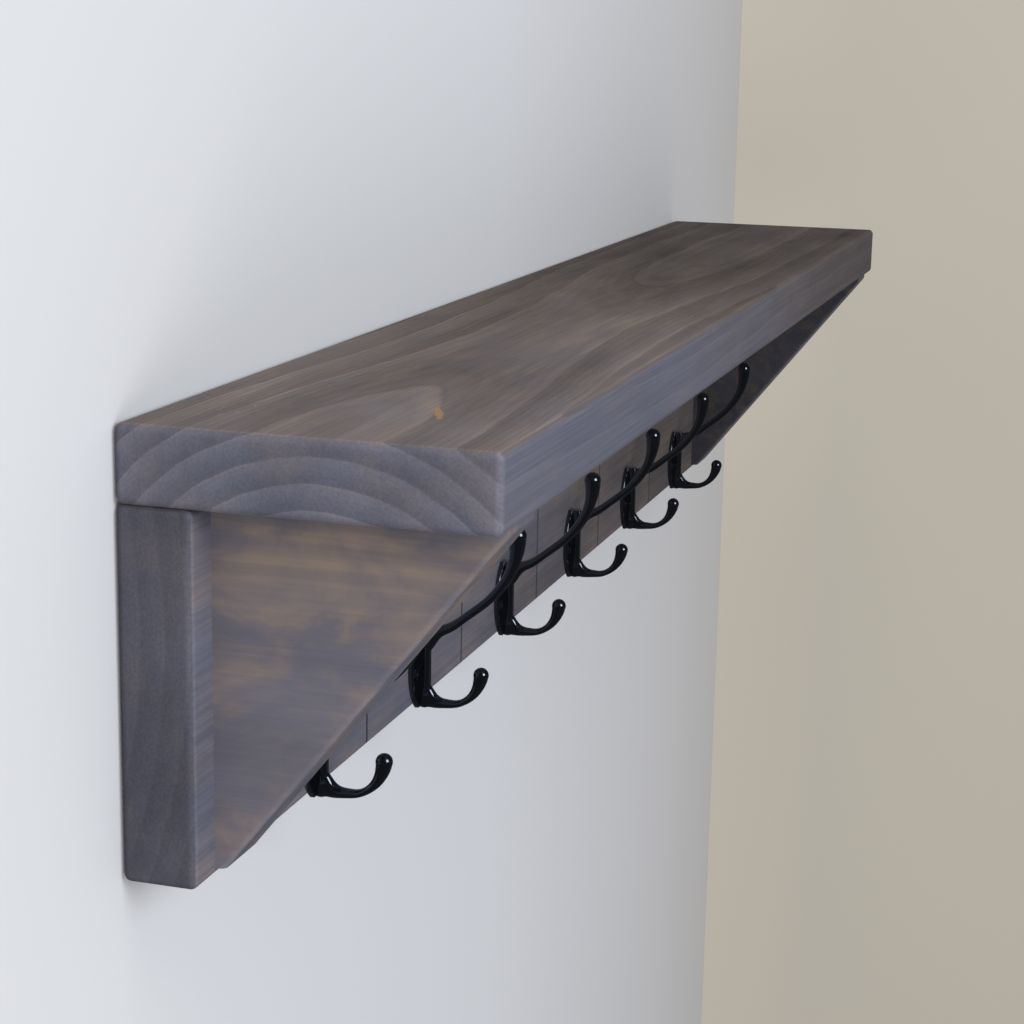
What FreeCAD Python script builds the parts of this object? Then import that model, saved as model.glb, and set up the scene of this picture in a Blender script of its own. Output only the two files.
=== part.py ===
# Wall coat rack with shelf, in millimetres.
# The wall is the plane y = 0, the rack stands out from it towards -Y, and Z is up.
# The origin is on the wall, midway along the rack and level with the two wall screws it hangs on.
import os
import math
import FreeCAD
import Part
from FreeCAD import Vector

# Boards
rack_length = 1125.0
shelf_depth = 186.0
board_thickness = 38.1
back_height = 184.0
edge_round = 3.8

# Grooves across the face of the back board
groove_width = 2.8
groove_depth = 2.0

# End brackets
bracket_inset = 22.0
bracket_lift = 4.0
bracket_setback = 3.0
bracket_lower_flat = 5.4
bracket_front_flat = 3.6
bracket_round = 3.0

# Hooks: places
hook_count = 6
hook_end_margin = 141.75
hook_overhang = 1.4
first_hook_shift = 3.5

# Hooks: plate and stem
plate_width = 32.4
plate_height = 51.0
plate_flat = 7.2
plate_thickness = 3.0
plate_round = 1.1
stem_width = 7.2
stem_reach = 8.5
stem_round = 2.4
prong_root = 19.0

# Hooks: upper arm, to the centre of its ball, and lower prong, to the centre of its ball
upper_reach = 61.4
upper_height = 110.6
upper_ball_radius = 5.5
upper_thickness = 5.2
lower_reach = 40.4
lower_height = 23.4
lower_ball_radius = 4.65
lower_thickness = 3.9

# Hook screws
hook_screw_spacing = 19.6
hook_screw_height = 23.0
hook_screw_length = 22.0
hook_screw_radius = 1.9
hook_screw_head_radius = 3.3
hook_screw_dome = 0.9
screw_dish_radius = 10.0
screw_dish_depth = 1.0

# Dowels
dowel_radius = 4.0
dowel_length = 36.0
dowel_end_gap = 0.8

# Screws from the wall side into the brackets
bracket_screw_length = 65.0
bracket_screw_radius = 2.25
bracket_screw_head_radius = 4.4
bracket_screw_sink = 0.6
bracket_screw_low = 40.0
bracket_screw_high = 135.0

# Keyhole plates let into the wall side
keyhole_end_margin = 206.9
hang_drop = 50.8
keyhole_plate_width = 20.0
keyhole_plate_length = 62.0
keyhole_plate_thickness = 1.6
keyhole_entry_radius = 5.0
keyhole_slot_width = 5.2
keyhole_travel = 11.0
keyhole_pocket_width = 15.0
keyhole_pocket_depth = 13.0
keyhole_screw_length = 16.0
keyhole_screw_radius = 1.75
keyhole_screw_head_radius = 3.4
keyhole_screw_end = 8.0

# Clearances
hole_clearance = 0.1
seat_clearance = 0.05
recess_clearance = 0.3
tip_clearance = 1.0

# Heights and depths that follow from the sizes above
back_top = hang_drop
back_bottom = back_top - back_height
back_front = -board_thickness
bracket_depth = shelf_depth - board_thickness - bracket_setback
bracket_middle = rack_length / 2 - bracket_inset - board_thickness / 2
hook_base = back_bottom - hook_overhang
hook_pitch = (rack_length - 2 * hook_end_margin) / (hook_count - 1)
even_places = [(i - (hook_count - 1) / 2) * hook_pitch for i in range(hook_count)]
groove_places = [(a + b) / 2 for a, b in zip(even_places, even_places[1:])]
hook_places = [even_places[0] + first_hook_shift] + even_places[1:]
keyhole_spacing = rack_length - 2 * keyhole_end_margin
keyhole_middle = -keyhole_travel / 2
RIGHT = 1
LEFT = -1


def eased_board(length, depth, height, corner):
    """A board with every edge rounded, its lowest corner at the given place."""
    board = Part.makeBox(length, depth, height, corner)
    return board.makeFillet(edge_round, board.Edges)


def screw_profile(radius, head_radius, length, dome, grow):
    """Half outline of a countersunk screw along -Z with its head's rim at z = 0; grow makes it a hole for one."""
    head_height = head_radius - radius
    tip = 1.5 * radius
    points = [Vector(0, 0, 0)]
    points.append(Vector(head_radius + grow, 0, 0))
    points.append(Vector(radius + grow, 0, -head_height))
    points.append(Vector(radius + grow, 0, -(length - tip)))
    points.append(Vector(0, 0, -length))
    edges = [Part.makeLine(a, b) for a, b in zip(points[1:], points[2:])]
    if dome:
        middle = Vector(0.55 * head_radius, 0, 0.72 * dome)
        edges.insert(0, Part.Arc(Vector(0, 0, dome), middle, points[1]).toShape())
        edges.append(Part.makeLine(points[-1], Vector(0, 0, dome)))
    else:
        edges.insert(0, Part.makeLine(points[0], points[1]))
        edges.append(Part.makeLine(points[-1], points[0]))
    return Part.Face(Part.Wire(edges))


def countersunk_screw(radius, head_radius, length, dome=0.0):
    """A wood screw along -Z with a cross recess in its head."""
    face = screw_profile(radius, head_radius, length, dome, 0.0)
    screw = face.revolve(Vector(0, 0, 0), Vector(0, 0, 1), 360)
    bar = 1.05 * head_radius
    slit = 0.24 * head_radius
    deep = 0.4 * head_radius
    for long_x, long_y in ((bar, slit), (slit, bar)):
        corner = Vector(-long_x / 2, -long_y / 2, dome - deep)
        screw = screw.cut(Part.makeBox(long_x, long_y, 2 * deep, corner))
    return screw


def screw_hole(radius, head_radius, length):
    """The hole that a countersunk screw sits in, open above its head."""
    face = screw_profile(radius, head_radius, length + tip_clearance, 0.0, hole_clearance)
    hole = face.revolve(Vector(0, 0, 0), Vector(0, 0, 1), 360)
    mouth = Part.makeCylinder(head_radius + hole_clearance, head_radius)
    return hole.fuse(mouth)


def from_front(shape, x, y, z):
    """Turns a shape made along -Z to point into the rack from the room side."""
    placed = shape.copy()
    placed.rotate(Vector(0, 0, 0), Vector(1, 0, 0), 90)
    placed.translate(Vector(x, y, z))
    return placed


def from_wall(shape, x, y, z):
    """Turns a shape made along -Z to point into the rack from the wall side."""
    placed = shape.copy()
    placed.rotate(Vector(0, 0, 0), Vector(1, 0, 0), -90)
    placed.translate(Vector(x, y, z))
    return placed


def upright_slot(x, y, z_low, z_high, radius, thickness):
    """A round-ended upright slot from y inwards, towards the room, by its thickness."""
    toward_room = Vector(0, -1, 0)
    low_end = Part.makeCylinder(radius, thickness, Vector(x, y, z_low), toward_room)
    high_end = Part.makeCylinder(radius, thickness, Vector(x, y, z_high), toward_room)
    corner = Vector(x - radius, y - thickness, z_low)
    middle = Part.makeBox(2 * radius, thickness, z_high - z_low, corner)
    return low_end.fuse([high_end, middle]).removeSplitter()


def at_hook(shape, x):
    """A copy of what is made at a hook's own foot, moved to the hook at x along the back board."""
    placed = shape.copy()
    placed.translate(Vector(x, back_front, hook_base))
    return placed


def at_hook_screws(shape):
    """Copies of a screw or its hole at the two screw places of a hook, at the hook's own foot."""
    depth = screw_dish_depth - plate_thickness - seat_clearance
    middles = (-hook_screw_spacing / 2, hook_screw_spacing / 2)
    return [from_front(shape, x, depth, hook_screw_height) for x in middles]


def bracket_screw_places(side):
    """Where the screws into one bracket enter the wall side of the back board."""
    heights = (back_bottom + bracket_screw_low, back_bottom + bracket_screw_high)
    return [(side * bracket_middle, z) for z in heights]


def keyhole_screw_places(side):
    """Where the two screws of one keyhole plate go."""
    reach = keyhole_plate_length / 2 - keyhole_screw_end
    return [(side * keyhole_spacing / 2, keyhole_middle + up * reach) for up in (LEFT, RIGHT)]


def bracket_screw_rim():
    """Depth of a bracket screw's head rim, sunk below the wall side."""
    return -bracket_screw_sink


def shelf_dowel_places():
    """Middles of the dowels between back board and shelf."""
    return [(x, -board_thickness / 2) for x in even_places]


def bracket_dowel_places(side):
    """Middles of the dowels between one bracket and the shelf."""
    return [(side * bracket_middle, back_front - part * bracket_depth) for part in (0.2, 0.6)]


def dowel(x, y):
    """A glued dowel, half in the shelf and half in what stands under it."""
    foot = Vector(x, y, back_top - dowel_length / 2)
    pin = Part.makeCylinder(dowel_radius, dowel_length, foot)
    return pin.makeChamfer(dowel_radius / 6, [e for e in pin.Edges if e.isClosed()])


def dowel_hole(x, y):
    """The hole for one dowel, seated below and with room above."""
    foot = Vector(x, y, back_top - dowel_length / 2)
    return Part.makeCylinder(dowel_radius + hole_clearance, dowel_length + dowel_end_gap, foot)


def groove(x):
    """A V-shaped cutter for one groove across the face of the back board."""
    half = groove_width / 2
    flare = half / groove_depth
    out = groove_depth
    points = [Vector(x - half - flare * out, back_front - out, 0)]
    points.append(Vector(x + half + flare * out, back_front - out, 0))
    points.append(Vector(x, back_front + groove_depth, 0))
    face = Part.Face(Part.makePolygon(points + points[:1]))
    face.translate(Vector(0, 0, back_bottom - board_thickness))
    return face.extrude(Vector(0, 0, back_height + 2 * board_thickness))


def keyhole_recess(side):
    """The shallow recess for one keyhole plate and the pocket for the wall screw's head."""
    x = side * keyhole_spacing / 2
    radius = keyhole_plate_width / 2
    reach = keyhole_plate_length / 2 - radius
    low = keyhole_middle - reach
    high = keyhole_middle + reach
    seat = upright_slot(x, 0, low, high, radius + recess_clearance, keyhole_plate_thickness)
    pocket = upright_slot(x, 0, -keyhole_travel, 0, keyhole_pocket_width / 2, keyhole_pocket_depth)
    return seat.fuse(pocket)


def make_shelf_board():
    corner = Vector(-rack_length / 2, -shelf_depth, back_top)
    board = eased_board(rack_length, shelf_depth, board_thickness, corner)
    places = shelf_dowel_places() + bracket_dowel_places(LEFT) + bracket_dowel_places(RIGHT)
    return board.cut([dowel_hole(x, y) for x, y in places])


def make_back_board():
    corner = Vector(-rack_length / 2, back_front, back_bottom)
    board = eased_board(rack_length, board_thickness, back_height, corner)
    cutters = [groove(x) for x in groove_places]
    cutters += [dowel_hole(x, y) for x, y in shelf_dowel_places()]
    hook_hole = screw_hole(hook_screw_radius, hook_screw_head_radius, hook_screw_length)
    bracket_hole = screw_hole(bracket_screw_radius, bracket_screw_head_radius, bracket_screw_length)
    keyhole_hole = screw_hole(keyhole_screw_radius, keyhole_screw_head_radius, keyhole_screw_length)
    for hook_x in hook_places:
        cutters += [at_hook(hole, hook_x) for hole in at_hook_screws(hook_hole)]
    for side in (LEFT, RIGHT):
        cutters += [from_wall(bracket_hole, x, bracket_screw_rim(), z) for x, z in bracket_screw_places(side)]
        cutters += [from_wall(keyhole_hole, x, 0, z) for x, z in keyhole_screw_places(side)]
        cutters.append(keyhole_recess(side))
    return board.cut(cutters)


def make_bracket(side):
    low = back_bottom + bracket_lift
    front = back_front - bracket_depth
    outline = [(back_front, low)]
    outline.append((back_front - bracket_lower_flat, low))
    outline.append((front, back_top - bracket_front_flat))
    outline.append((front, back_top))
    outline.append((back_front, back_top))
    start = side * bracket_middle - board_thickness / 2
    points = [Vector(start, y, z) for y, z in outline]
    face = Part.Face(Part.makePolygon(points + points[:1]))
    block = face.extrude(Vector(board_thickness, 0, 0))
    along = [e.tangentAt(e.FirstParameter) for e in block.Edges]
    sloping = [e for e, t in zip(block.Edges, along) if abs(t.y) > 0.1 and abs(t.z) > 0.1]
    block = block.makeFillet(bracket_round, sloping)
    hole = screw_hole(bracket_screw_radius, bracket_screw_head_radius, bracket_screw_length)
    cutters = [from_wall(hole, x, bracket_screw_rim(), z) for x, z in bracket_screw_places(side)]
    cutters += [dowel_hole(x, y) for x, y in bracket_dowel_places(side)]
    return block.cut(cutters)


def hook_plate():
    """The hook's plate, flat on the board: two bowed sides joined by short straight ends."""
    half = plate_flat / 2
    middle = plate_height / 2
    top_left = Vector(-half, 0, plate_height)
    top_right = Vector(half, 0, plate_height)
    low_left = Vector(-half, 0, 0)
    low_right = Vector(half, 0, 0)
    right_bow = Part.Arc(top_right, Vector(plate_width / 2, 0, middle), low_right).toShape()
    left_bow = Part.Arc(low_left, Vector(-plate_width / 2, 0, middle), top_left).toShape()
    top_end = Part.makeLine(top_left, top_right)
    low_end = Part.makeLine(low_right, low_left)
    face = Part.Face(Part.Wire([top_end, right_bow, low_end, left_bow]))
    plate = face.extrude(Vector(0, -plate_thickness, 0))
    rim = [e for e in plate.Edges if abs(e.CenterOfMass.y + plate_thickness) < 0.01]
    plate = plate.makeFillet(plate_round, rim)
    for side in (LEFT, RIGHT):
        depth = plate_thickness - screw_dish_depth + screw_dish_radius
        centre = Vector(side * hook_screw_spacing / 2, -depth, hook_screw_height)
        plate = plate.cut(Part.makeSphere(screw_dish_radius, centre))
    return plate


def hook_stem():
    """The upright rib of the hook, rounded along its front, down to the middle of the prong's root."""
    foot = prong_root / 2
    corner = Vector(-stem_width / 2, -stem_reach, foot)
    stem = Part.makeBox(stem_width, stem_reach, plate_height - foot, corner)
    front = [e for e in stem.Edges if abs(e.CenterOfMass.y + stem_reach) < 0.01]
    upright = [e for e in front if abs(e.tangentAt(e.FirstParameter).z) > 0.5]
    return stem.makeFillet(stem_round, upright)


def oval(reach, height, slope, thickness, width):
    """A closed oval across an arm that runs out and up at the given slope, in degrees."""
    ring = Part.makeCircle(1.0, Vector(0, 0, 0), Vector(0, -1, 0))
    change = FreeCAD.Matrix()
    change.scale(width / 2, 1.0, thickness / 2)
    change.rotateX(-math.radians(slope))
    change.move(Vector(0, -reach, height))
    return Part.Wire(ring.transformGeometry(change).Edges)


def swept_arm(stations):
    """A cast arm through ovals at (reach, height, slope, thickness, width)."""
    return Part.makeLoft([oval(*station) for station in stations], True, False)


def hook_upper_arm():
    """The long arm: deep where it leaves the stem, thin in the middle, thick at its ball."""
    root = plate_height
    rise = upper_height - plate_height
    run = upper_reach - stem_reach
    thin = upper_thickness
    thick = 2 * upper_ball_radius
    out = stem_reach
    stations = [(0.2 * out, 0.78 * root, 0, 0.434 * root, stem_width)]
    stations.append((0.85 * out, 0.832 * root, 4, 0.306 * root, stem_width))
    stations.append((out + 0.04 * run, 0.885 * root, 14, 0.21 * root, stem_width))
    stations.append((out + 0.1 * run, 0.935 * root, 22, 0.145 * root, 0.95 * stem_width))
    stations.append((out + 0.21 * run, root - 0.008 * rise, 29, 1.15 * thin, 0.88 * stem_width))
    stations.append((out + 0.36 * run, root + 0.085 * rise, 35, thin, 0.83 * stem_width))
    stations.append((out + 0.505 * run, root + 0.188 * rise, 39, thin, 0.8 * stem_width))
    stations.append((out + 0.65 * run, root + 0.296 * rise, 44, 1.02 * thin, 0.8 * stem_width))
    stations.append((out + 0.78 * run, root + 0.42 * rise, 51, 1.08 * thin, 0.83 * stem_width))
    stations.append((out + 0.883 * run, root + 0.55 * rise, 60, 1.16 * thin, 0.88 * stem_width))
    stations.append((out + 0.96 * run, root + 0.7 * rise, 72, 0.64 * thick, 0.95 * stem_width))
    stations.append((out + 0.997 * run, root + 0.86 * rise, 84, 0.83 * thick, 0.8 * thick))
    stations.append((upper_reach, upper_height, 90, 0.93 * thick, 0.93 * thick))
    arm = swept_arm(stations)
    ball = Part.makeSphere(upper_ball_radius, Vector(0, -upper_reach, upper_height))
    return arm.fuse(ball)


def hook_lower_prong():
    """The short prong: it leaves the foot of the stem, dips and turns up to its ball."""
    thin = lower_thickness
    thick = 2 * lower_ball_radius
    run = lower_reach - stem_reach
    out = stem_reach
    root = plate_height
    stations = [(0.2 * out, prong_root / 2, 0, prong_root, stem_width)]
    stations.append((0.85 * out, 0.144 * root, 0, 0.288 * root, stem_width))
    stations.append((out + 0.09 * run, 0.094 * root, -4, 0.188 * root, stem_width))
    stations.append((out + 0.19 * run, 0.07 * root, -4, 0.134 * root, 0.98 * stem_width))
    stations.append((out + 0.35 * run, 0.145 * lower_height, 0, 1.36 * thin, 0.94 * stem_width))
    stations.append((out + 0.52 * run, 0.165 * lower_height, 12, 1.14 * thin, 0.9 * stem_width))
    stations.append((out + 0.68 * run, 0.254 * lower_height, 30, 1.08 * thin, 0.86 * stem_width))
    stations.append((out + 0.82 * run, 0.41 * lower_height, 48, 1.3 * thin, 0.86 * stem_width))
    stations.append((out + 0.923 * run, 0.616 * lower_height, 66, 0.71 * thick, 0.9 * stem_width))
    stations.append((out + 0.98 * run, 0.82 * lower_height, 80, 0.88 * thick, 0.86 * thick))
    stations.append((lower_reach, lower_height, 90, 0.92 * thick, 0.92 * thick))
    prong = swept_arm(stations)
    ball = Part.makeSphere(lower_ball_radius, Vector(0, -lower_reach, lower_height))
    return prong.fuse(ball)


def make_coat_hook():
    """One hook, at its own foot: the middle of its plate's lower end, on the board."""
    body = hook_plate().fuse([hook_stem(), hook_upper_arm(), hook_lower_prong()])
    hole = screw_hole(hook_screw_radius, hook_screw_head_radius, hook_screw_length)
    return body.cut(at_hook_screws(hole))


def make_hook_screws():
    """The two screws of one hook, at the hook's own foot."""
    screw = countersunk_screw(hook_screw_radius, hook_screw_head_radius, hook_screw_length, hook_screw_dome)
    return Part.makeCompound(at_hook_screws(screw))


def make_bracket_screws(side):
    screw = countersunk_screw(bracket_screw_radius, bracket_screw_head_radius, bracket_screw_length)
    rim = bracket_screw_rim() + seat_clearance
    return Part.makeCompound([from_wall(screw, x, rim, z) for x, z in bracket_screw_places(side)])


def make_keyhole_plate(side):
    x = side * keyhole_spacing / 2
    radius = keyhole_plate_width / 2
    reach = keyhole_plate_length / 2 - radius
    thickness = keyhole_plate_thickness
    plate = upright_slot(x, 0, keyhole_middle - reach, keyhole_middle + reach, radius, thickness)
    room = Vector(0, -1, 0)
    entry = Part.makeCylinder(keyhole_entry_radius, 3 * thickness, Vector(x, thickness, -keyhole_travel), room)
    slot = upright_slot(x, thickness, -keyhole_travel, 0, keyhole_slot_width / 2, 3 * thickness)
    hole = screw_hole(keyhole_screw_radius, keyhole_screw_head_radius, keyhole_screw_length)
    screws = [from_wall(hole, sx, 0, sz) for sx, sz in keyhole_screw_places(side)]
    return plate.cut([entry, slot] + screws)


def make_keyhole_screws(side):
    screw = countersunk_screw(keyhole_screw_radius, keyhole_screw_head_radius, keyhole_screw_length)
    return Part.makeCompound([from_wall(screw, x, 0, z) for x, z in keyhole_screw_places(side)])


def make_dowels(places):
    return Part.makeCompound([dowel(x, y) for x, y in places])


def save(name, shape):
    shape.exportStep("parts/" + name + ".step")


os.makedirs("parts", exist_ok=True)
save("shelf_board", make_shelf_board())
save("back_board", make_back_board())
save("shelf_dowels", make_dowels(shelf_dowel_places()))
for side, word in ((LEFT, "left"), (RIGHT, "right")):
    save(word + "_bracket", make_bracket(side))
    save(word + "_bracket_dowels", make_dowels(bracket_dowel_places(side)))
    save(word + "_bracket_screws", make_bracket_screws(side))
    save(word + "_keyhole_plate", make_keyhole_plate(side))
    save(word + "_keyhole_screws", make_keyhole_screws(side))
coat_hook = make_coat_hook()
hook_screws = make_hook_screws()
for number, place in enumerate(hook_places, 1):
    save("coat_hook_" + str(number), at_hook(coat_hook, place))
    save("hook_screws_" + str(number), at_hook(hook_screws, place))
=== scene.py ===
import math

import bpy
from mathutils import Matrix, Vector


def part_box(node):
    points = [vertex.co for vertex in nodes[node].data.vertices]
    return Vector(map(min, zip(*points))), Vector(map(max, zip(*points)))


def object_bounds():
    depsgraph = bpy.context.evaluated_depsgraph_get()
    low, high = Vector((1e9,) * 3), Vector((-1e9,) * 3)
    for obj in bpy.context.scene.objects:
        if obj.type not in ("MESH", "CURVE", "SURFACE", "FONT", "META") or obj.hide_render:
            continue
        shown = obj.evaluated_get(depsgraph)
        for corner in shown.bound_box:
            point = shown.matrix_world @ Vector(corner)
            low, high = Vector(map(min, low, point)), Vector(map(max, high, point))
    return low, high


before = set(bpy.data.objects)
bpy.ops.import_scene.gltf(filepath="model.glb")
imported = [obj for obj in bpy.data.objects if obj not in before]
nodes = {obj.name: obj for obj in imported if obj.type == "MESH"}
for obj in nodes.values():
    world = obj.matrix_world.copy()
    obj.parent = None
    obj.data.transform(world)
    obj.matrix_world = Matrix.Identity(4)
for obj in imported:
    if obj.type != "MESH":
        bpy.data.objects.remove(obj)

cad_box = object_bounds()
near_x, far_x = cad_box[0][0], cad_box[1][0]
shelf_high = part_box("shelf_board")[1]
back_low, back_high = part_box("back_board")
HOOK_COUNT = 6

# Camera: focal length in picture pixels, place in metres, turns in degrees about Z, about X and its own roll
IMAGE_SIDE = 1024
FOCAL_PIXELS = 2186.5
SENSOR_WIDTH = 36.0
CAMERA_PLACE = (-1.4418, -0.45846, 0.2716)
CAMERA_TURN = (-73.046, 77.241, 1.059)

# Room round the part: the wall's face, the corner, the floor, how far walls reach, where the wall's colour
# ramp with painted shade towards the corner begins, and where the end wall's tint begins
WALL_Y = 0.0008
CORNER_X = 0.85
FLOOR_Z = -1.5
ROOM = 4.0
WALL_SHADE_X = -0.8
END_TINT_Y = -0.4
WALL_ROUGHNESS = 0.9

# Even light from all round, as matt surfaces take it and as gloss mirrors it
ROOM_LIGHT = 0.6
MIRRORED_LIGHT = 0.045

# Growth rings: their widths, the length of their sweep along a board, and their waviness
RING_WIDTH = 0.0125
FINE_RING = 0.0021
SWEEP_LENGTH = 0.78
SWAY = 0.006
RIPPLE = 0.0022

# Stretches of one ring: where it pales, is rubbed and ends; and where a fine ring darkens and pales again
RING_PALING = (0.05, 0.9)
RING_EDGE = (0.84, 0.95)
RING_END = (0.965, 0.999)
FINE_RISE = (0.2, 0.8)
FINE_FALL = (0.85, 1.0)

# Pith of the shelf and the back from their top back edge, and of a bracket from its right and bottom faces
SHELF_PITH = (-0.1, -0.115)
BACK_PITH = (0.3, -0.06)
BRACKET_PITH = (0.09, 0.06)
SHELF_FIRST_RING = 0.1194

# Stain: its middle tone and swings, how strongly rings show along the grain and on sawn ends
MIDDLE_TONE = 0.42
STAIN_SWING = 0.5
CLOUD_SWING = 0.7
RING_MIDDLE = 0.4
RING_TONES = (0.13, 0.19)
FINE_DEPTH = 0.07
RUBBED = (0.04, 0.28)

# By face: what counts as turned one way or up and how grain shows on sawn ends; painted light colour, cooler
# on sawn ends and warmer on tops up to a reach along the rack; and the reach of painted shade on faces to the
# room
FACE_TURN = (0.3, 0.7)
UP_TURN = (0.2, 0.8)
END_GRAIN = 0.35
PAINTED_END_WARMTH = 0.3
PAINTED_TOP_WARMTH = (0.85, 1.1)
PAINTED_TOP_REACH = 0.7
PAINTED_FRONT_REACH = 0.8

# A chip in the stain near one end of the shelf's top
CHIP_PLACE = (-0.482, -0.129)
CHIP_REACH = (0.019, 0.0024)
CHIP_SLANT = 0.37
DENT_RADIUS = 0.0016

# Dark stain in the V grooves between the hooks: 0.2 mm for its spread is added to half their width and to
# their depth, and their reach is counted in pitches from the middle
GROOVE_PITCH = 0.1683
GROOVE_HALF = 0.0016
GROOVE_DEPTH = 0.0022
GROOVE_REACH = 2.5

# Colour sockets of a mixing node
MIX_FIRST = 6
MIX_SECOND = 7
MIX_RESULT = 2


def srgb(red, green, blue):
    """A colour as it looks on screen, from 0 to 255, as a linear shader colour."""
    def linear(value):
        share = value / 255
        return share / 12.92 if share <= 0.04045 else ((share + 0.055) / 1.055) ** 2.4
    return (linear(red), linear(green), linear(blue), 1.0)


# Blue palette for upright faces and sawn ends, brown for tops: painted cool and warm light colour, mixed with
# the stain's clouds
COOL = [(0.22, srgb(71, 73, 86)), (0.48, srgb(96, 96, 110)), (0.76, srgb(124, 122, 134))]
WARM = [(0.22, srgb(76, 67, 64)), (0.48, srgb(101, 92, 89)), (0.76, srgb(130, 119, 114))]
GOLD = srgb(142, 122, 104)
CHIP = srgb(168, 130, 84)
SCUFF = srgb(164, 158, 154)
DENT = srgb(44, 40, 42)


class Graph:
    """A material's node tree, with short calls for the nodes used here."""

    def __init__(self, name):
        self.material = bpy.data.materials.new(name)
        self.material.use_nodes = True
        self.tree = self.material.node_tree
        self.shader = self.tree.nodes["Principled BSDF"]

    def feed(self, value, socket):
        if isinstance(value, bpy.types.NodeSocket):
            self.tree.links.new(value, socket)
        else:
            socket.default_value = value

    def set(self, **values):
        for name, value in values.items():
            self.feed(value, self.shader.inputs[name.replace("_", " ")])

    def axes(self, output="Object"):
        place = self.tree.nodes.new("ShaderNodeTexCoord").outputs[output]
        node = self.tree.nodes.new("ShaderNodeSeparateXYZ")
        self.feed(place, node.inputs[0])
        return dict(zip("XYZ", node.outputs))

    def vector(self, x, y, z):
        node = self.tree.nodes.new("ShaderNodeCombineXYZ")
        for value, socket in zip((x, y, z), node.inputs):
            self.feed(value, socket)
        return node.outputs[0]

    def math(self, operation, a, b=0.0, clamp=False):
        node = self.tree.nodes.new("ShaderNodeMath")
        node.operation = operation
        node.use_clamp = clamp
        self.feed(a, node.inputs[0])
        self.feed(b, node.inputs[1])
        return node.outputs[0]

    def plus(self, a, b):
        return self.math("ADD", a, b)

    def minus(self, a, b):
        return self.math("SUBTRACT", a, b)

    def times(self, a, b):
        return self.math("MULTIPLY", a, b)

    def swing(self, value, amount):
        """A value round one half, as a swing about zero."""
        return self.times(self.minus(value, 0.5), amount)

    def smooth(self, value, low, high, start=0.0, end=1.0):
        """Runs smoothly from start to end as the value goes from low to high."""
        node = self.tree.nodes.new("ShaderNodeMapRange")
        node.interpolation_type = "SMOOTHSTEP"
        for given, socket in zip((value, low, high, start, end), node.inputs):
            self.feed(given, socket)
        return node.outputs[0]

    def blend(self, mask, start, end):
        """Runs smoothly from start, where the mask is zero, to end, where it is one."""
        return self.smooth(mask, 0.0, 1.0, start, end)

    def noise(self, vector, scale, detail=2.0, roughness=0.5, distortion=0.0):
        node = self.tree.nodes.new("ShaderNodeTexNoise")
        given = {"Vector": vector, "Scale": scale, "Detail": detail, "Roughness": roughness,
                 "Distortion": distortion}
        for name, value in given.items():
            self.feed(value, node.inputs[name])
        return node.outputs["Fac"]

    def dots(self, vector, scale, radius):
        """Small round marks, one in about half of the cells."""
        node = self.tree.nodes.new("ShaderNodeTexVoronoi")
        self.feed(vector, node.inputs["Vector"])
        node.inputs["Scale"].default_value = scale
        near = self.smooth(node.outputs["Distance"], 0.5 * radius * scale, radius * scale, 1.0, 0.0)
        chance = self.tree.nodes.new("ShaderNodeSeparateColor")
        self.feed(node.outputs["Color"], chance.inputs[0])
        return self.times(near, self.math("GREATER_THAN", chance.outputs[0], 0.5))

    def ramp(self, factor, stops):
        node = self.tree.nodes.new("ShaderNodeValToRGB")
        elements = node.color_ramp.elements
        while len(elements) < len(stops):
            elements.new(0.5)
        for element, (place, colour) in zip(elements, stops):
            element.position = place
            element.color = colour
        self.feed(factor, node.inputs[0])
        return node.outputs[0]

    def mix(self, factor, a, b, blend="MIX"):
        node = self.tree.nodes.new("ShaderNodeMix")
        node.data_type = "RGBA"
        node.blend_type = blend
        self.feed(factor, node.inputs[0])
        self.feed(a, node.inputs[MIX_FIRST])
        self.feed(b, node.inputs[MIX_SECOND])
        return node.outputs[MIX_RESULT]

    def shade(self, colour, level):
        return self.mix(1.0, colour, self.vector(level, level, level), "MULTIPLY")

    def bump(self, height, strength, distance):
        node = self.tree.nodes.new("ShaderNodeBump")
        node.inputs["Strength"].default_value = strength
        node.inputs["Distance"].default_value = distance
        self.feed(height, node.inputs["Height"])
        self.feed(node.outputs[0], self.shader.inputs["Normal"])


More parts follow.
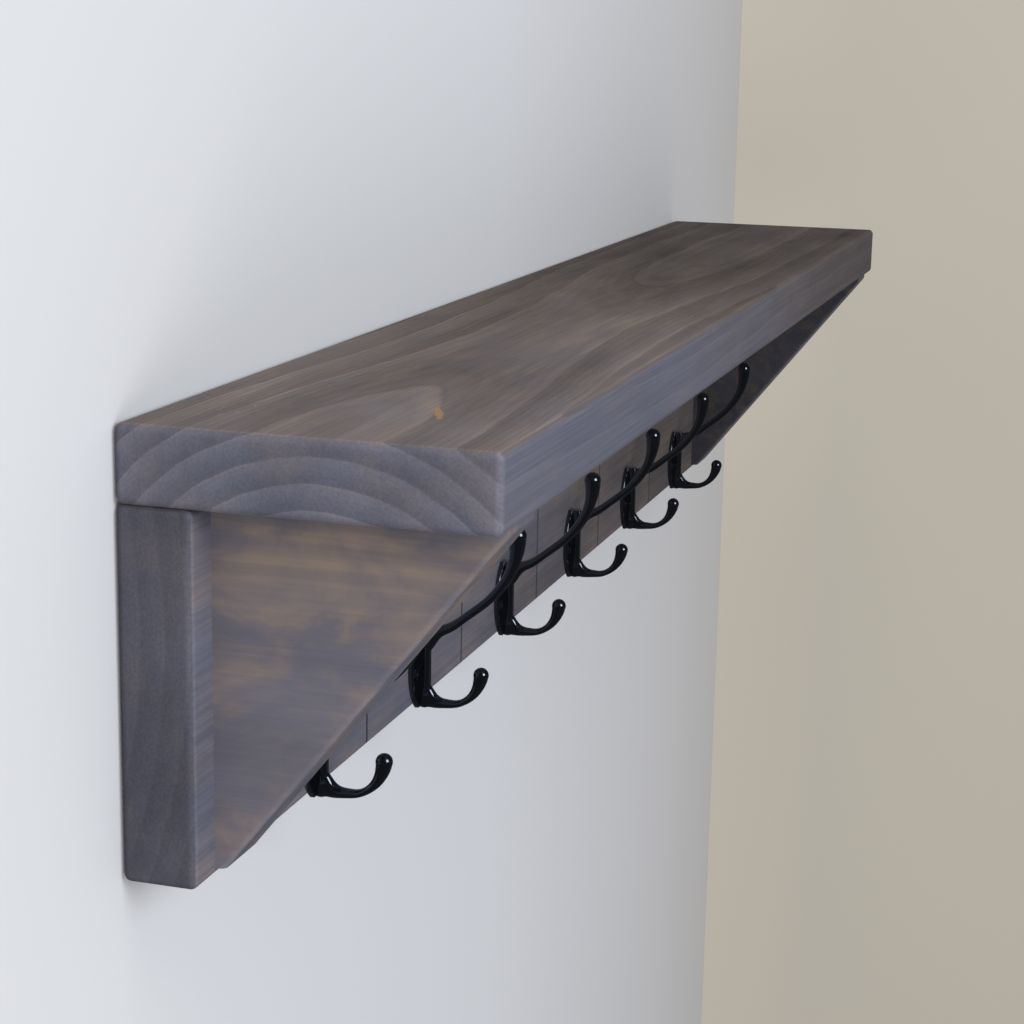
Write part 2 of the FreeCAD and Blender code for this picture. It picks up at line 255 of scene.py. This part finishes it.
class Board:
    """One board of stained pine: its faces, the noise in its stain and its growth rings.

    The grain runs along the first axis of order, and pith is a place on the other two axes."""

    def __init__(self, graph, order, pith, first, seed, sink, calm, clouds):
        axes = graph.axes()
        along, across, upright = (axes[letter] for letter in order)
        self.graph = graph
        self.normals = graph.axes("Normal")
        self.along = graph.plus(along, seed)
        self.across = across
        self.upright = upright
        self.far = graph.smooth(axes["X"], near_x, far_x)
        self.end = self.facing(order[0])
        self.front = self.facing("Y")
        self.shown = graph.blend(self.front, 1.0, calm)
        self.grain = graph.times(graph.blend(self.end, 1.0, END_GRAIN), self.shown)
        self.fibres = self.field(0.012, scale=800.0, detail=3.0, roughness=0.6)
        self.streaks = self.field(0.02, scale=130.0, detail=3.0, roughness=0.55)
        self.stain = self.field(0.28, scale=16.0, detail=3.0, roughness=0.55, distortion=0.4)
        self.cloud = self.field(*clouds, detail=4.0, roughness=0.6, distortion=0.4)
        self.add_rings(self.ring_radius(pith, near_x + seed, sink), first)

    def facing(self, letter):
        """One on faces turned along an axis either way, and zero on the others."""
        return self.graph.smooth(self.graph.math("ABSOLUTE", self.normals[letter]), *FACE_TURN)

    def field(self, share, scale, detail, roughness=0.5, distortion=0.0):
        """Noise drawn out along the grain: the smaller the share, the longer its streaks."""
        place = self.graph.vector(self.graph.times(self.along, share), self.across, self.upright)
        return self.graph.noise(place, scale, detail, roughness, distortion)

    def ring_radius(self, pith, start, sink):
        """Distance from the pith line, which dips by sink in one sweep from start and sways a little."""
        graph = self.graph
        turn = graph.times(graph.minus(self.along, start), 2 * math.pi / SWEEP_LENGTH)
        turn = graph.math("MINIMUM", turn, 2 * math.pi)
        dip = graph.times(graph.minus(1.0, graph.math("COSINE", turn)), sink / 2)
        side = graph.minus(self.across, pith[0])
        rise = graph.plus(graph.minus(self.upright, pith[1]), dip)
        radius = graph.math("SQRT", graph.plus(graph.times(side, side), graph.times(rise, rise)))
        sway = self.field(3.0, scale=1.6, detail=2.0)
        ripple = self.field(0.3, scale=60.0, detail=2.0)
        return graph.plus(radius, graph.plus(graph.swing(sway, SWAY), graph.swing(ripple, RIPPLE)))

    def add_rings(self, radius, first):
        """Growth rings, one of which ends at the radius first: they pale outwards and have a rubbed edge."""
        graph = self.graph
        ring = graph.math("FRACT", graph.math("DIVIDE", graph.minus(radius, first), RING_WIDTH))
        ring_end = graph.smooth(ring, *RING_END, 1.0, 0.0)
        self.pale = graph.times(graph.smooth(ring, *RING_PALING), ring_end)
        self.edge = graph.times(graph.smooth(ring, *RING_EDGE), ring_end)
        fine = graph.math("FRACT", graph.math("DIVIDE", radius, FINE_RING))
        fine = graph.times(graph.smooth(fine, *FINE_RISE), graph.smooth(fine, *FINE_FALL, 1.0, 0.0))
        self.fine = graph.times(fine, self.grain)


def stain_tone(board, rings, streaky):
    """How pale the stain is, by its own noise, by streaks along the grain and by growth rings."""
    graph = board.graph
    uneven = graph.times(graph.swing(board.stain, STAIN_SWING), board.shown)
    streaked = graph.times(graph.swing(board.streaks, streaky), board.grain)
    ring_share = graph.blend(board.end, *(tone * rings for tone in RING_TONES))
    ringed = graph.times(graph.minus(board.pale, RING_MIDDLE), graph.times(ring_share, board.shown))
    return graph.plus(graph.plus(graph.plus(uneven, streaked), MIDDLE_TONE), ringed)


def stain_warmth(board, painted_side_warmth):
    """How brown rather than blue the colour is: painted light colour by the way a face is turned and where it
    is along the rack, and the stain's clouds.
    """
    graph = board.graph
    # Painted light colour: warmth on upright faces and on tops changes along the rack, and sawn ends are
    # cooler
    sideways = graph.blend(board.far, *painted_side_warmth)
    upward = graph.smooth(board.far, 0.0, PAINTED_TOP_REACH, *PAINTED_TOP_WARMTH)
    warmth = graph.smooth(board.normals["Z"], *UP_TURN, sideways, upward)
    warmth = graph.times(warmth, graph.blend(board.end, 1.0, PAINTED_END_WARMTH))
    clouded = graph.times(graph.swing(board.cloud, CLOUD_SWING), board.shown)
    return graph.math("ADD", warmth, clouded, clamp=True)


def bare_share(board, gold, bare_ends, rings):
    """Where golden wood shows through: in clouds, and along the rubbed edges of growth rings."""
    graph = board.graph
    streaked = graph.smooth(board.streaks, low=0.35, high=0.65, start=0.6, end=1.0)
    bare = graph.times(graph.smooth(board.cloud, low=0.38, high=0.7), streaked)
    bare = graph.times(bare, graph.blend(board.end, gold, bare_ends * gold))
    worn = graph.smooth(board.stain, low=0.4, high=0.6, start=RUBBED[0], end=RUBBED[1] * rings)
    rubbed = graph.times(board.edge, worn)
    return graph.times(graph.math("MAXIMUM", bare, rubbed), board.shown)


def stain_level(board, painted_falloff, painted_front_shade, ends, painted_left_light, rings, fibrous):
    """How much light the colour gives back: painted light falling off along the rack, painted shade on faces
    to the room, painted light and shade on faces to the left, and the stain's depth on sawn ends, fine rings
    and fibres.
    """
    graph = board.graph
    # Painted light falling off from the near to the far end of the rack
    level = graph.blend(board.far, *painted_falloff)
    # Painted shade on faces to the room, changing along the rack; above one it is painted light
    front_shade_share = graph.smooth(board.far, 0.0, PAINTED_FRONT_REACH, 1.0 - painted_front_shade[0], 1.0 - painted_front_shade[1])
    front_shade_share = graph.times(board.front, front_shade_share)
    end_stain_and_front_shade = graph.math("MAXIMUM", graph.times(board.end, 1.0 - ends), front_shade_share)
    level = graph.times(level, graph.minus(1.0, end_stain_and_front_shade))
    # Painted light above one and painted shade below one on faces to the left
    level = graph.times(level, graph.smooth(board.normals["X"], -FACE_TURN[1], -FACE_TURN[0], painted_left_light, 1.0))
    level = graph.times(level, graph.blend(board.fine, 1.0, 1.0 - FINE_DEPTH * rings))
    fibre_level = graph.smooth(board.fibres, 0.25, 0.75, 1.0 - fibrous / 2, 1.0 + fibrous / 2)
    return graph.times(level, fibre_level)


def pine(name, order, pith, seed, sink, painted_side_warmth, painted_falloff, gold, rings, first=0.0, painted_front_shade=(1.0, 1.0), ends=1.0,
         painted_left_light=1.0, calm=1.0, bare_ends=1.0, streaky=0.2, fibrous=0.26, clouds=(0.42, 26.0), finish=None):
    """Stained pine with growth rings, fibres, stain that took unevenly, and painted light and shade by face
    and along the rack.

    The pairs painted_side_warmth, painted_falloff and painted_front_shade hold for the near and the far end
    of
    the rack: painted_side_warmth is painted light colour on upright faces, painted_falloff is painted light
    falling off along the rack, and painted_front_shade, ends and painted_left_light change that on faces to
    the room by painted shade below one and painted light above one, on sawn ends by deeper stain, and on
    faces to the left by painted light above one and painted shade below one. Grain shows on faces to the room
    by calm as much as elsewhere. The share of bare wood is gold, on sawn ends times bare_ends, and clouds are
    its noise's share and scale."""
    graph = Graph(name)
    board = Board(graph, order, pith, first, seed, sink, calm, clouds)
    tone = stain_tone(board, rings, streaky)
    colour = graph.mix(stain_warmth(board, painted_side_warmth), graph.ramp(tone, COOL), graph.ramp(tone, WARM))
    colour = graph.mix(bare_share(board, gold, bare_ends, rings), colour, GOLD)
    colour = graph.shade(colour, stain_level(board, painted_falloff, painted_front_shade, ends, painted_left_light, rings, fibrous))
    if finish:
        colour = finish(graph, colour)
    roughness = graph.smooth(board.streaks, low=0.2, high=0.8, start=0.6, end=0.45)
    graph.set(Base_Color=colour, Roughness=roughness, Specular_IOR_Level=0.4)
    height = graph.plus(graph.times(board.fibres, 0.6), graph.times(board.fine, 0.3))
    graph.bump(height, strength=0.3, distance=0.0006)
    return graph.material


def shelf_marks(graph, colour):
    """What use left on the shelf's top: a chip at its near end, small dents and pale scuffs."""
    axes = graph.axes()
    place = graph.vector(axes["X"], axes["Y"], axes["Z"])
    top = graph.smooth(graph.axes("Normal")["Z"], low=0.5, high=0.9)
    off_x = graph.minus(axes["X"], CHIP_PLACE[0])
    off_y = graph.minus(graph.minus(axes["Y"], CHIP_PLACE[1]), graph.times(off_x, CHIP_SLANT))
    part_x = graph.math("DIVIDE", off_x, CHIP_REACH[0])
    part_y = graph.math("DIVIDE", off_y, CHIP_REACH[1])
    reach = graph.math("SQRT", graph.plus(graph.times(part_x, part_x), graph.times(part_y, part_y)))
    reach = graph.plus(reach, graph.swing(graph.noise(place, scale=220.0, detail=3.0), 1.2))
    chip = graph.times(graph.smooth(reach, low=0.6, high=1.1, start=0.7, end=0.0), top)
    colour = graph.mix(chip, colour, CHIP)
    worn = graph.smooth(graph.noise(place, scale=11.0), low=0.56, high=0.66)
    across = graph.vector(axes["X"], graph.times(axes["Y"], 2.2), axes["Z"])
    scratch = graph.smooth(graph.noise(across, scale=170.0), low=0.66, high=0.74, start=0.0, end=0.4)
    colour = graph.mix(graph.times(graph.times(worn, scratch), top), colour, SCUFF)
    dents = graph.times(graph.dots(place, scale=8.0, radius=DENT_RADIUS), graph.times(top, 0.8))
    return graph.mix(dents, colour, DENT)


def groove_lines(graph, colour):
    """Darker stain gathered in the V grooves of the back board's front."""
    axes = graph.axes()
    turns = graph.math("DIVIDE", axes["X"], GROOVE_PITCH)
    away = graph.math("ABSOLUTE", graph.minus(turns, graph.math("ROUND", turns)))
    inside = graph.math("LESS_THAN", graph.math("ABSOLUTE", axes["X"]), GROOVE_REACH * GROOVE_PITCH)
    inside = graph.times(inside, graph.math("LESS_THAN", axes["Y"], back_low.y + GROOVE_DEPTH))
    off = graph.times(away, GROOVE_PITCH)
    dark = graph.smooth(off, low=0.6 * GROOVE_HALF, high=GROOVE_HALF, start=0.62, end=0.0)
    return graph.shade(colour, graph.minus(1.0, graph.times(dark, inside)))


def enamel(name, dark, pale, rough):
    """Glossy black enamel with a faint ripple and uneven gloss under a clear coat."""
    graph = Graph(name)
    axes = graph.axes()
    place = graph.vector(axes["X"], axes["Y"], axes["Z"])
    smear = graph.noise(place, scale=45.0, detail=3.0)
    colour = graph.mix(graph.smooth(smear, low=0.3, high=0.75), srgb(*dark), srgb(*pale))
    gloss = graph.smooth(smear, low=0.25, high=0.75, start=rough, end=rough + 0.1)
    graph.set(Base_Color=colour, Roughness=gloss, IOR=1.6, Specular_Tint=(0.55, 0.7, 1.0, 1.0))
    graph.set(Coat_Weight=1.0, Coat_Roughness=0.03, Coat_IOR=1.7)
    graph.bump(graph.noise(place, scale=160.0), strength=0.1, distance=0.0004)
    return graph.material


def zinc(name):
    """Dull zinc plate with a brushed and slightly clouded face."""
    graph = Graph(name)
    axes = graph.axes()
    cloud = graph.noise(graph.vector(axes["X"], axes["Y"], axes["Z"]), scale=120.0, detail=3.0)
    upright = graph.vector(graph.times(axes["X"], 12.0), axes["Y"], graph.times(axes["Z"], 0.3))
    brushed = graph.noise(upright, scale=90.0)
    colour = graph.mix(cloud, srgb(182, 184, 186), srgb(214, 212, 202))
    gloss = graph.smooth(brushed, low=0.2, high=0.8, start=0.34, end=0.5)
    graph.set(Base_Color=colour, Metallic=0.5, Roughness=gloss)
    graph.bump(brushed, strength=0.1, distance=0.0003)
    return graph.material


def beech(name):
    """Bare beech of the dowels, with fine upright grain."""
    graph = Graph(name)
    axes = graph.axes()
    upright = graph.vector(axes["X"], axes["Y"], graph.times(axes["Z"], 0.06))
    grain = graph.noise(upright, scale=600.0, detail=3.0)
    colour = graph.ramp(grain, [(0.3, srgb(188, 148, 104)), (0.7, srgb(222, 188, 142))])
    gloss = graph.smooth(grain, low=0.2, high=0.8, start=0.7, end=0.55)
    graph.set(Base_Color=colour, Roughness=gloss)
    graph.bump(grain, strength=0.2, distance=0.0004)
    return graph.material


def dress(node, material):
    mesh = nodes[node].data
    mesh.materials.clear()
    mesh.materials.append(material)


shelf_pith = (shelf_high.y + SHELF_PITH[0], shelf_high.z + SHELF_PITH[1])
# The shelf's colour has painted light at the near end falling off to the far end, and painted shade on its
# front at the near end
shelf_pine = pine("shelf_pine", "XYZ", shelf_pith, seed=3.1, sink=0.0105, painted_side_warmth=(0.0, 0.8),
                  painted_falloff=(1.4, 0.88), gold=0.16, rings=0.8, first=SHELF_FIRST_RING, painted_front_shade=(0.75, 1.04),
                  ends=0.72, calm=0.45, fibrous=0.22, finish=shelf_marks)
dress("shelf_board", shelf_pine)

back_pith = (back_high.y + BACK_PITH[0], back_high.z + BACK_PITH[1])
# The back's colour has painted light falling off along the rack, and painted shade on its front
back_pine = pine("back_pine", "XYZ", back_pith, seed=7.4, sink=0.012, painted_side_warmth=(0.0, 0.85), painted_falloff=(1.2, 0.82),
                 gold=0.35, rings=0.3, painted_front_shade=(0.9, 0.92), ends=0.57, bare_ends=0.4, finish=groove_lines)
dress("back_board", back_pine)

# Brackets have painted light falling off from the near to the far one; painted light on the left bracket's
# face to the left and painted shade on the right bracket's; the right bracket's stain is in finer clouds
for side, seed, painted_left_light, clouds in (("left", 1.7, 1.1, (0.6, 24.0)), ("right", 5.2, 0.31, (1.0, 110.0))):
    low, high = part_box(side + "_bracket")
    pith = (high.x + BRACKET_PITH[0], low.z + BRACKET_PITH[1])
    bracket_pine = pine(side + "_bracket_pine", "YXZ", pith, seed, sink=0.02, painted_side_warmth=(0.3, 0.0),
                        painted_falloff=(1.0, 0.9), gold=0.72, rings=0.1, painted_left_light=painted_left_light, streaky=0.06, fibrous=0.08,
                        clouds=clouds)
    dress(side + "_bracket", bracket_pine)
    dress(side + "_bracket_dowels", beech(side + "_dowel_beech"))
    dress(side + "_bracket_screws", zinc(side + "_screw_zinc"))
    dress(side + "_keyhole_plate", zinc(side + "_plate_zinc"))
    dress(side + "_keyhole_screws", zinc(side + "_keyhole_screw_zinc"))
dress("shelf_dowels", beech("shelf_dowel_beech"))

hook_black = enamel("hook_enamel", dark=(4, 5, 9), pale=(8, 9, 15), rough=0.1)
screw_black = enamel("screw_enamel", dark=(9, 9, 11), pale=(20, 20, 23), rough=0.28)
for number in range(1, HOOK_COUNT + 1):
    dress("coat_hook_" + str(number), hook_black)
    dress("hook_screws_" + str(number), screw_black)


def stage_sheet(name, corners, axis, stops, span):
    """A plain wall or floor, seen from its front only, whose colour changes slowly along one axis."""
    mesh = bpy.data.meshes.new(name)
    mesh.from_pydata(corners, [], [(0, 1, 2, 3)])
    sheet = bpy.data.objects.new(name, mesh)
    bpy.context.scene.collection.objects.link(sheet)
    graph = Graph(name)
    share = graph.math("DIVIDE", graph.minus(graph.axes()[axis], span[0]), span[1] - span[0], clamp=True)
    graph.set(Base_Color=graph.ramp(share, stops), Roughness=WALL_ROUGHNESS)
    clear = graph.tree.nodes.new("ShaderNodeBsdfTransparent")
    geometry = graph.tree.nodes.new("ShaderNodeNewGeometry")
    either = graph.tree.nodes.new("ShaderNodeMixShader")
    graph.feed(geometry.outputs["Backfacing"], either.inputs[0])
    graph.feed(graph.shader.outputs[0], either.inputs[1])
    graph.feed(clear.outputs[0], either.inputs[2])
    graph.feed(either.outputs[0], graph.tree.nodes["Material Output"].inputs["Surface"])
    mesh.materials.append(graph.material)
    sheet.visible_diffuse = False
    sheet.visible_glossy = False
    sheet.visible_transmission = False
    sheet.visible_shadow = False


wall_corners = [(-ROOM, WALL_Y, FLOOR_Z), (CORNER_X, WALL_Y, FLOOR_Z), (CORNER_X, WALL_Y, ROOM),
                (-ROOM, WALL_Y, ROOM)]
# The wall darkens and warms towards the corner: painted shade of the corner
wall_stops = [(0.0, srgb(196, 196, 198)), (0.5, srgb(203, 203, 206)), (0.8, srgb(197, 195, 196)),
              (1.0, srgb(189, 185, 181))]
stage_sheet("wall", wall_corners, "X", wall_stops, (WALL_SHADE_X, CORNER_X))
end_corners = [(CORNER_X, WALL_Y, FLOOR_Z), (CORNER_X, -ROOM, FLOOR_Z), (CORNER_X, -ROOM, ROOM),
               (CORNER_X, WALL_Y, ROOM)]
end_stops = [(0.0, srgb(186, 178, 164)), (0.7, srgb(187, 180, 166)), (1.0, srgb(196, 187, 173))]
stage_sheet("end_wall", end_corners, "Y", end_stops, (END_TINT_Y, WALL_Y))
floor_corners = [(-ROOM, -ROOM, FLOOR_Z), (CORNER_X, -ROOM, FLOOR_Z), (CORNER_X, WALL_Y, FLOOR_Z),
                 (-ROOM, WALL_Y, FLOOR_Z)]
floor_stops = [(0.0, srgb(226, 224, 220)), (1.0, srgb(216, 214, 210))]
stage_sheet("floor", floor_corners, "X", floor_stops, (-ROOM, CORNER_X))


def soft_lamp(name, place, aim, size, power, colour, mirrored=True):
    """A square soft light; one that is not mirrored leaves no highlight on gloss."""
    lamp = bpy.data.lights.new(name, "AREA")
    lamp.shape = "SQUARE"
    lamp.size = size
    lamp.energy = power
    lamp.color = colour
    holder = bpy.data.objects.new(name, lamp)
    holder.location = place
    holder.rotation_euler = (Vector(aim) - Vector(place)).to_track_quat("-Z", "Y").to_euler()
    holder.visible_glossy = mirrored
    bpy.context.scene.collection.objects.link(holder)


soft_lamp("window_lamp", place=(-1.3, -2.3, 0.9), aim=(-0.1, -0.1, 0.0), size=1.3, power=40.0,
          colour=(0.86, 0.93, 1.0))
soft_lamp("top_lamp", place=(-1.0, -0.6, 1.7), aim=(-0.5, -0.1, 0.0), size=1.2, power=13.0,
          colour=(1.0, 0.97, 0.93))
soft_lamp("room_lamp", place=(-1.6, -0.9, -0.5), aim=(-0.5, -0.1, 0.0), size=0.8, power=8.0,
          colour=(1.0, 0.98, 0.97), mirrored=False)

world = bpy.data.worlds.new("room_light")
bpy.context.scene.world = world
world.use_nodes = True
background = world.node_tree.nodes["Background"]
background.inputs["Color"].default_value = (0.97, 0.98, 1.0, 1.0)
light_path = world.node_tree.nodes.new("ShaderNodeLightPath")
strength = world.node_tree.nodes.new("ShaderNodeMapRange")
strength.inputs["To Min"].default_value = ROOM_LIGHT
strength.inputs["To Max"].default_value = MIRRORED_LIGHT
world.node_tree.links.new(light_path.outputs["Is Glossy Ray"], strength.inputs["Value"])
world.node_tree.links.new(strength.outputs[0], background.inputs["Strength"])

camera_data = bpy.data.cameras.new("camera")
camera_data.sensor_fit = "HORIZONTAL"
camera_data.sensor_width = SENSOR_WIDTH
camera_data.lens = FOCAL_PIXELS / IMAGE_SIDE * SENSOR_WIDTH
camera = bpy.data.objects.new("camera", camera_data)
bpy.context.scene.collection.objects.link(camera)
turn_z, turn_x, roll = (math.radians(angle) for angle in CAMERA_TURN)
facing = Matrix.Rotation(turn_z, 4, "Z") @ Matrix.Rotation(turn_x, 4, "X") @ Matrix.Rotation(roll, 4, "Z")
camera.matrix_world = Matrix.Translation(CAMERA_PLACE) @ facing
bpy.context.scene.camera = camera
bpy.context.scene.view_settings.view_transform = "Standard"
